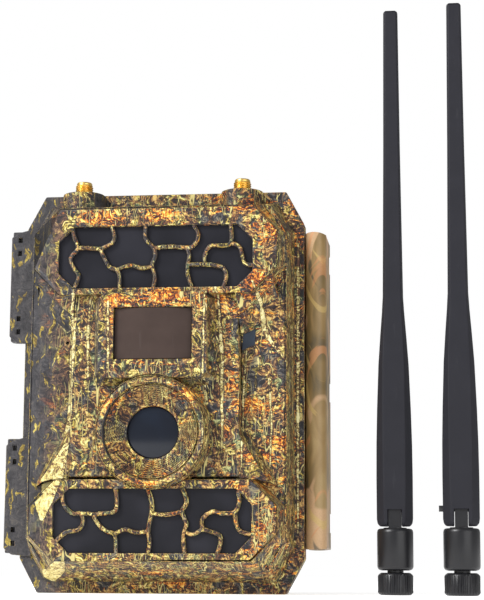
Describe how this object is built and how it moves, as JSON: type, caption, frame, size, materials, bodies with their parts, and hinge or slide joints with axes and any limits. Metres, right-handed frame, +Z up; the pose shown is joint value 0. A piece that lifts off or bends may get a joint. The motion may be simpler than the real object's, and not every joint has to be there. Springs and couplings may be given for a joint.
{
  "type": "trail camera",
  "caption": "Camouflaged octagonal wildlife camera: hinged front cover with lens, motion window and LED windows, side latch, battery bay, and two tilting screw-on antennas beside it.",
  "frame": {"origin": "mouth of the tripod socket, in the plane of the base", "axes": "+X to the right seen from the front, -Y out of the lens, +Z up along the standing antennas"},
  "size_m": [0.167, 0.0796, 0.2095],
  "materials": {
    "camo_shell": "satin moulded plastic with a printed forest camouflage film",
    "camo_rear": "satin moulded plastic with the same camouflage film",
    "camo_latch": "satin plastic with a larger, softer tan leaf print",
    "seal_rubber": "matt black rubber",
    "steel_pin": "drawn stainless steel",
    "black_moulding": "fine-grained black moulding",
    "cell_label": "shrink sleeve on a metal can",
    "nickel": "nickel-plated steel",
    "brass_insert": "turned brass",
    "smoked_pane": "polished infra-red-passing black acrylic",
    "circuit_board": "solder-masked glass-epoxy board",
    "led_epoxy": "tinted epoxy",
    "pir_plastic": "matt dark polyethylene Fresnel sheet",
    "sensor_can": "plated steel can",
    "lens_glass": "coated cover glass",
    "filter_glass": "infra-red cut glass in a black carrier",
    "cable_jacket": "thin coaxial jacket",
    "sensor_window": "smooth dark window",
    "gold_plate": "gold-plated brass",
    "ptfe": "white PTFE",
    "lcd_panel": "display glass in a metal frame",
    "key_plastic": "light grey keys",
    "switch_plastic": "red slider",
    "card_plastic": "memory card",
    "sim_plastic": "card plastic with gold contacts",
    "antenna_plastic": "fine satin black",
    "nut_plastic": "knurled black plastic over brass",
    "black_pin": "blackened steel"
  },
  "bodies": {
    "housing": {"rear_housing": "camo_rear", "door_seal": "seal_rubber", "hinge_pins": "steel_pin", "latch_pin": "steel_pin", "battery_tray": "black_moulding", "aa_cells": "cell_label", "contact_springs": "nickel", "contact_plates": "nickel", "tree_bracket": "black_moulding", "bracket_screws": "steel_pin", "tripod_insert": "brass_insert", "power_jack": "black_moulding"},
    "jack_plug": {"jack_plug": "seal_rubber"},
    "latch": {"latch_bar": "camo_latch"},
    "door": {"front_cover": "camo_shell", "inner_panel": "black_moulding", "panel_screws": "steel_pin", "led_grille_upper": "camo_shell", "led_grille_lower": "camo_shell", "led_pane_upper": "smoked_pane", "led_pane_lower": "smoked_pane", "led_boards": "circuit_board", "ir_leds": "led_epoxy", "pir_window": "pir_plastic", "pir_sensor": "sensor_can", "lens_hood": "camo_shell", "lens_window": "lens_glass", "lens_barrel": "black_moulding", "image_sensor": "circuit_board", "main_board": "circuit_board", "modem_module": "nickel", "coax_leads": "cable_jacket", "microphone": "nickel", "light_sensor": "sensor_window", "sma_jacks": "gold_plate", "sma_insulators": "ptfe", "lcd_module": "lcd_panel", "lcd_window": "smoked_pane", "spring_pins": "gold_plate", "card_sockets": "nickel"},
    "ir_filter": {"ir_cut_filter": "filter_glass"},
    "key_menu": {"button_menu": "key_plastic"},
    "key_up": {"button_up": "key_plastic"},
    "key_down": {"button_down": "key_plastic"},
    "key_left": {"button_left": "key_plastic"},
    "key_right": {"button_right": "key_plastic"},
    "key_ok": {"button_ok": "key_plastic"},
    "mode_slider": {"mode_switch": "switch_plastic"},
    "memory_card": {"sd_card": "card_plastic"},
    "sim": {"sim_card": "sim_plastic"},
    "antenna_left": {"antenna_left_base": "antenna_plastic", "antenna_left_pin": "black_pin", "antenna_left_contact": "gold_plate"},
    "antenna_left_blade": {"antenna_left_paddle": "antenna_plastic"},
    "antenna_left_coupling": {"antenna_left_nut": "nut_plastic"},
    "antenna_right": {"antenna_right_base": "antenna_plastic", "antenna_right_pin": "black_pin", "antenna_right_contact": "gold_plate"},
    "antenna_right_blade": {"antenna_right_paddle": "antenna_plastic"},
    "antenna_right_coupling": {"antenna_right_nut": "nut_plastic"}
  },
  "joints": [
    {"name": "door_hinge", "type": "hinge", "parent": "housing", "child": "door", "pos_m": [-0.0534, -0.016, 0.072], "axis": [0, 0, -1], "range_deg": [0, 115]},
    {"name": "latch_hinge", "type": "hinge", "parent": "housing", "child": "latch", "pos_m": [0.05445, 0.001, 0.072], "axis": [0, 0, 1], "range_deg": [0, 100]},
    {"name": "jack_plug_pull", "type": "slide", "parent": "housing", "child": "jack_plug", "axis": [0, 0, -1], "range_m": [0, 0.008]},
    {"name": "ir_filter_shift", "type": "slide", "parent": "door", "child": "ir_filter", "axis": [1, 0, 0], "range_m": [0, 0.009]},
    {"name": "press_menu", "type": "slide", "parent": "door", "child": "key_menu", "axis": [0, -1, 0], "range_m": [0, 0.0006], "stiffness_N_per_m": 1500, "springref_m": -0.0003},
    {"name": "press_up", "type": "slide", "parent": "door", "child": "key_up", "axis": [0, -1, 0], "range_m": [0, 0.0006], "stiffness_N_per_m": 1500, "springref_m": -0.0003},
    {"name": "press_down", "type": "slide", "parent": "door", "child": "key_down", "axis": [0, -1, 0], "range_m": [0, 0.0006], "stiffness_N_per_m": 1500, "springref_m": -0.0003},
    {"name": "press_left", "type": "slide", "parent": "door", "child": "key_left", "axis": [0, -1, 0], "range_m": [0, 0.0006], "stiffness_N_per_m": 1500, "springref_m": -0.0003},
    {"name": "press_right", "type": "slide", "parent": "door", "child": "key_right", "axis": [0, -1, 0], "range_m": [0, 0.0006], "stiffness_N_per_m": 1500, "springref_m": -0.0003},
    {"name": "press_ok", "type": "slide", "parent": "door", "child": "key_ok", "axis": [0, -1, 0], "range_m": [0, 0.0006], "stiffness_N_per_m": 1500, "springref_m": -0.0003},
    {"name": "mode_slide", "type": "slide", "parent": "door", "child": "mode_slider", "axis": [1, 0, 0], "range_m": [0, 0.0076]},
    {"name": "memory_card_eject", "type": "slide", "parent": "door", "child": "memory_card", "axis": [0, 0, -1], "range_m": [0, 0.003]},
    {"name": "sim_eject", "type": "slide", "parent": "door", "child": "sim", "axis": [0, 0, -1], "range_m": [0, 0.003]},
    {"name": "antenna_left_lift", "type": "slide", "parent": "housing", "child": "antenna_left", "axis": [0, 0, 1], "range_m": [0, 0.15]},
    {"name": "antenna_left_tilt", "type": "hinge", "parent": "antenna_left", "child": "antenna_left_blade", "pos_m": [0.0817, -0.017, 0.0294], "axis": [-1, 0, 0], "range_deg": [0, 90]},
    {"name": "antenna_left_nut_spin", "type": "hinge", "parent": "antenna_left", "child": "antenna_left_coupling", "pos_m": [0.0817, -0.017, 0.004], "axis": [0, 0, 1], "continuous": true},
    {"name": "antenna_right_lift", "type": "slide", "parent": "housing", "child": "antenna_right", "axis": [0, 0, 1], "range_m": [0, 0.15]},
    {"name": "antenna_right_tilt", "type": "hinge", "parent": "antenna_right", "child": "antenna_right_blade", "pos_m": [0.1045, -0.023, 0.0294], "axis": [-1, 0, 0], "range_deg": [0, 90]},
    {"name": "antenna_right_nut_spin", "type": "hinge", "parent": "antenna_right", "child": "antenna_right_coupling", "pos_m": [0.1045, -0.023, 0.004], "axis": [0, 0, 1], "continuous": true}
  ]
}
